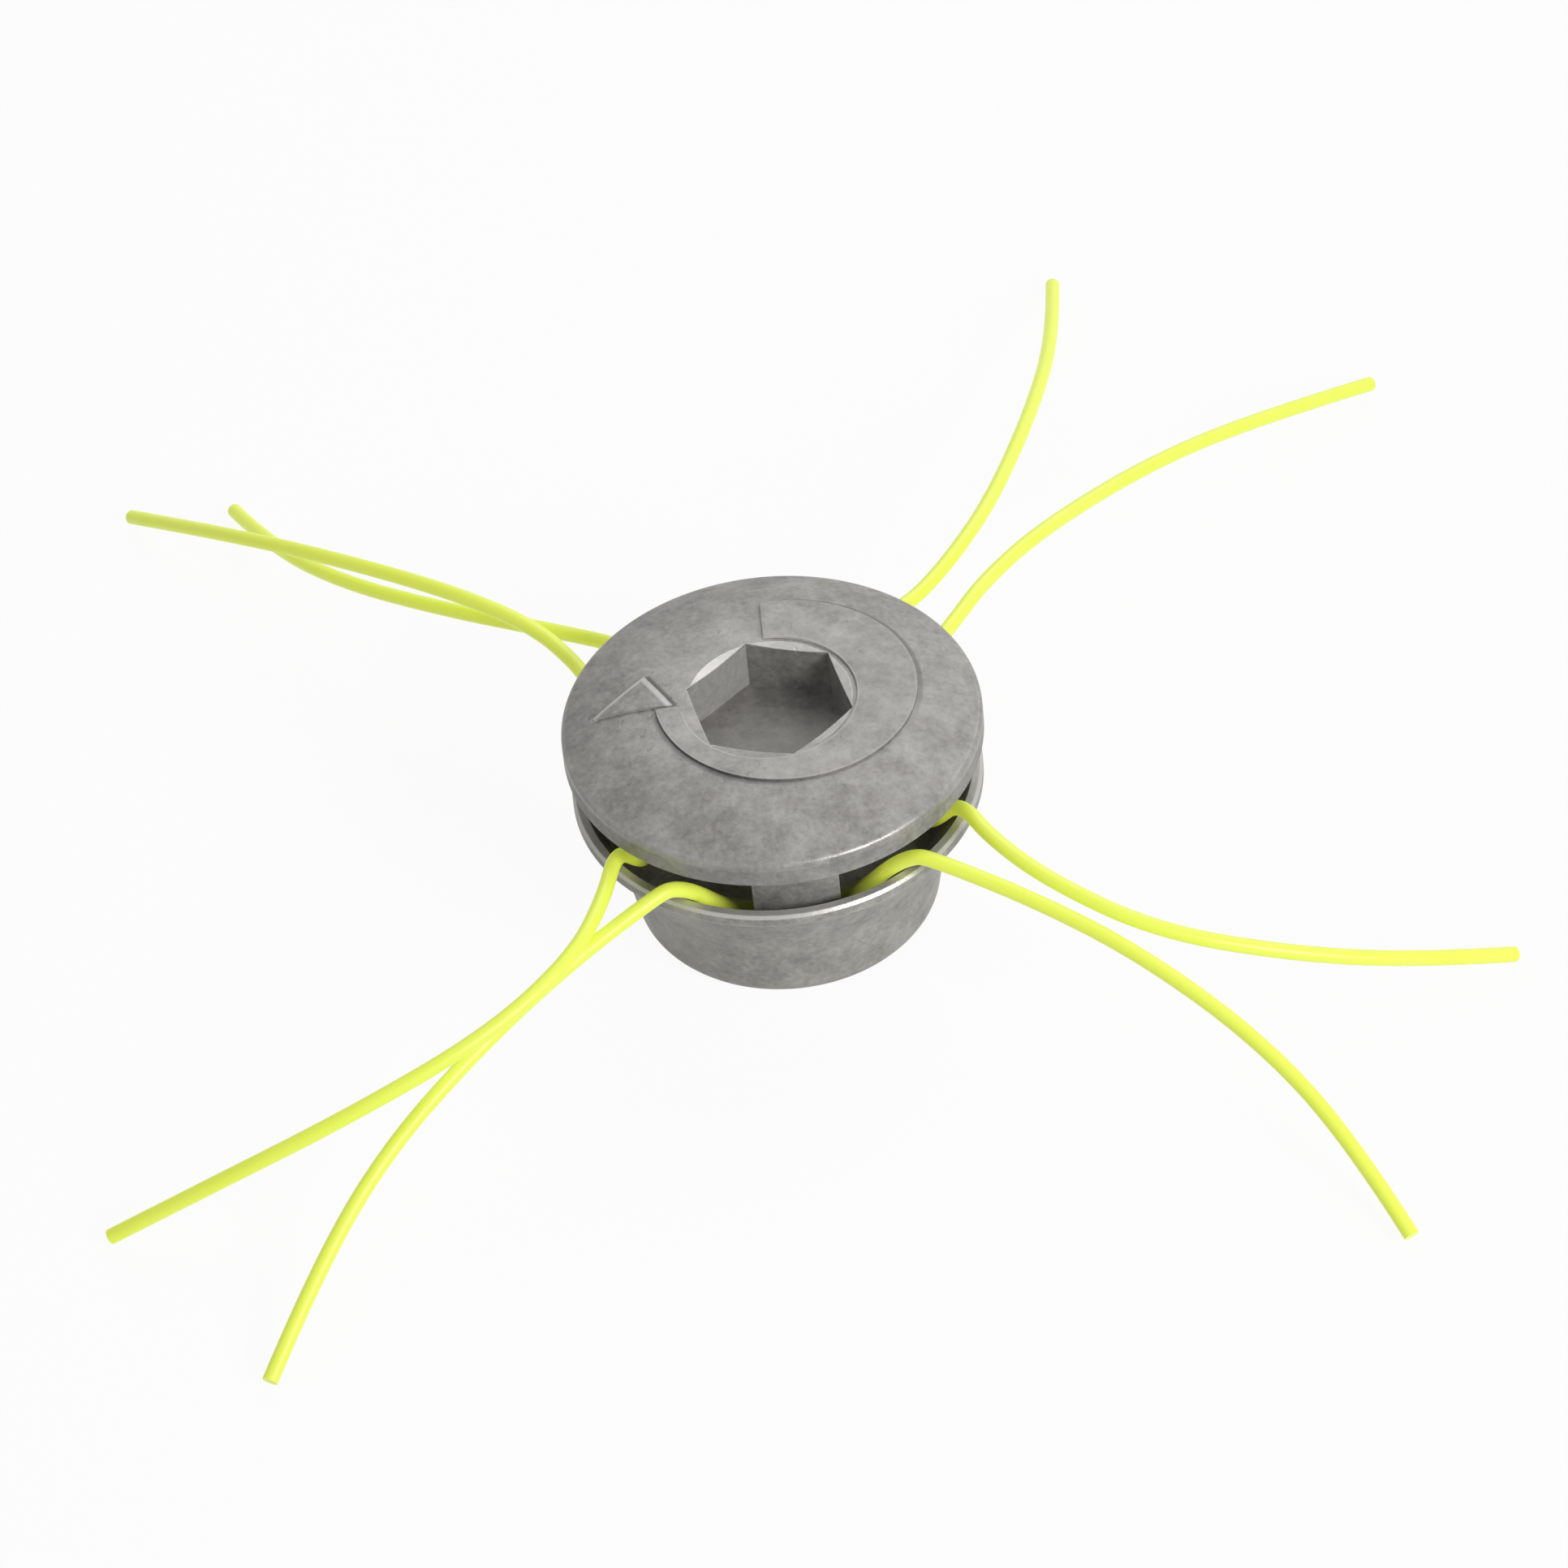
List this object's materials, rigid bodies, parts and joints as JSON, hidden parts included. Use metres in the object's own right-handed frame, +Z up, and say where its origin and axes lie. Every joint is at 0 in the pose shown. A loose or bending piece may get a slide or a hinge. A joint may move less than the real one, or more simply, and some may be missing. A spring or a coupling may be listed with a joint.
{
  "type": "trimmer head",
  "caption": "Cast aluminium fixed-line trimmer head: a flared cup with guide posts, a domed screw cap with hex socket and raised arrow, and bent nylon lines held behind the posts.",
  "frame": {"origin": "centre of the cup's foot, on the spindle axis", "axes": "+Z up along the spindle axis, from the foot to the cap; -Y is the front, where the picture looks from"},
  "size_m": [0.2687, 0.2854, 0.0512],
  "materials": {
    "cast_cup": "matte cast aluminium with a bright machined rim",
    "cast_cap": "matte cast aluminium, slightly mottled",
    "insert_steel": "turned steel",
    "washer_steel": "plain steel",
    "nylon_line": "satin yellow-green nylon, a little translucent"
  },
  "bodies": {
    "cup": {"base": "cast_cup", "spindle_insert": "insert_steel", "line_front": "nylon_line", "line_right": "nylon_line", "line_back": "nylon_line", "line_left": "nylon_line"},
    "washer": {"thrust_washer": "washer_steel"},
    "screw_cap": {"cap": "cast_cap"}
  },
  "joints": [
    {"name": "cap_lift", "type": "slide", "parent": "cup", "child": "washer", "axis": [0, 0, 1], "range_m": [0, 0.0151]},
    {"name": "cap_turn", "type": "hinge", "parent": "washer", "child": "screw_cap", "pos_m": [0, 0, 0.0365], "axis": [0, 0, 1], "range_deg": [-2700, 0]}
  ],
  "couplings": [
    {"joint": "cap_lift", "follows": "cap_turn", "m_per_rad": -0.00031831}
  ]
}
